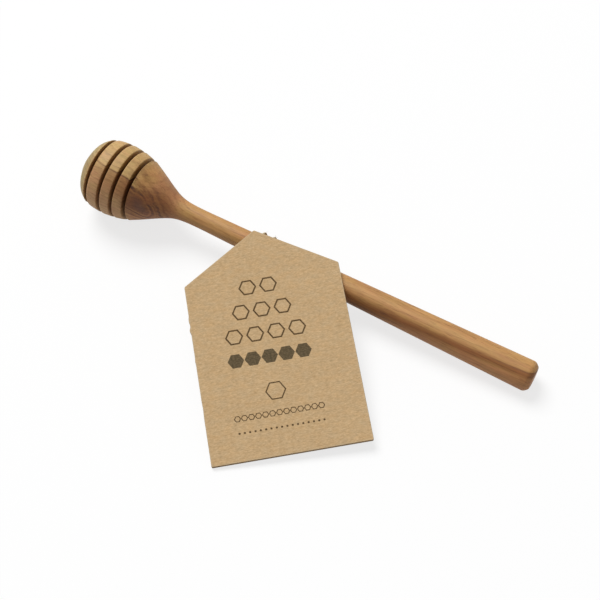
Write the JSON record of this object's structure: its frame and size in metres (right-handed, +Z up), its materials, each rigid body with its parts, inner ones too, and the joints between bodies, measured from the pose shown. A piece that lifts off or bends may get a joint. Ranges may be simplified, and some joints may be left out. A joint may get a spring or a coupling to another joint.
{
  "type": "honey dipper",
  "caption": "Turned wooden honey dipper with a grooved round head and a long tapered handle, lying with a card tag tied to its neck by twine.",
  "frame": {"origin": "on the table, under the middle of the whole object's box", "axes": "+X along the dipper from its head to the handle's end, as seen from above; +Z up from the table; the tag lies towards -Y"},
  "size_m": [0.16, 0.0832, 0.0244],
  "materials": {
    "teak": "fine-sanded, satin",
    "twine": "natural, slightly hairy",
    "kraft_card": "uncoated, matt",
    "kraft_strip": "uncoated, matt"
  },
  "bodies": {
    "dipper": {"turned_dipper": "teak"},
    "loop": {"twine_loop": "twine", "twine_knot": "twine"},
    "tag": {"tag_card": "kraft_card", "tag_strip": "kraft_strip"}
  },
  "joints": [
    {"name": "loop_slide", "type": "slide", "parent": "dipper", "child": "loop", "axis": [0.9988, 0, -0.0488], "range_m": [-0.026, 0.004]},
    {"name": "tag_swing", "type": "hinge", "parent": "loop", "child": "tag", "pos_m": [-0.01392, 0.02942, 0.00951], "axis": [-0.9988, 0, 0.0488], "range_deg": [-20, 160]}
  ]
}
